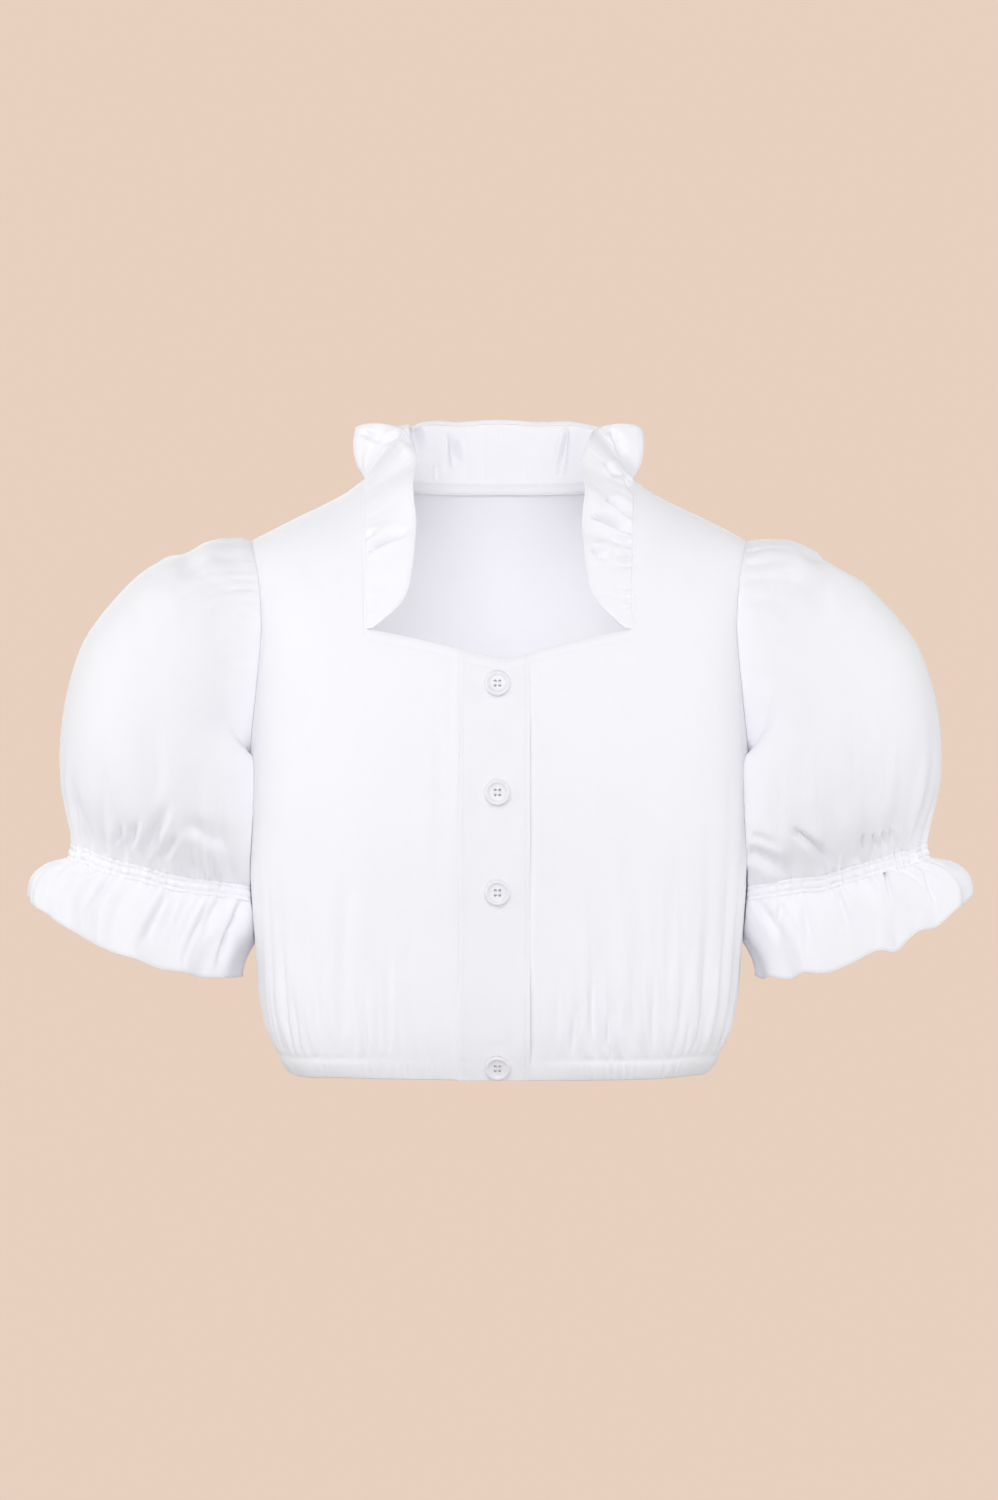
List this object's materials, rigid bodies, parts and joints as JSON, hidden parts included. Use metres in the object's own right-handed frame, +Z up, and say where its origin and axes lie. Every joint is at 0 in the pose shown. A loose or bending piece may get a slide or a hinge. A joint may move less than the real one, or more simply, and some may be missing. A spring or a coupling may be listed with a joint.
{
  "type": "peasant blouse",
  "caption": "Short peasant blouse with puff sleeves, a stand-up neck frill, a buttoned front and an elastic hem, filled out as if worn.",
  "frame": {"origin": "between the shoulders, at the height of the neckline's shoulder points, where the wearer's shoulders carry the blouse", "axes": "+X to the wearer's left, -Y to the front, +Z up"},
  "size_m": [0.6478, 0.2316, 0.4472],
  "materials": {
    "cotton": "fine plain-woven cotton, matte",
    "button": "pearly white"
  },
  "bodies": {
    "root": {"front_right": "cotton", "front_left": "cotton", "back": "cotton", "placket_band": "cotton", "button_band": "cotton", "collar_frill": "cotton", "neck_binding": "cotton", "sleeve_right": "cotton", "sleeve_left": "cotton", "sleeve_elastic_right": "cotton", "sleeve_elastic_left": "cotton", "sleeve_frill_right": "cotton", "sleeve_frill_left": "cotton", "button_1": "button", "button_2": "button", "button_3": "button", "button_4": "button"}
  },
  "joints": []
}
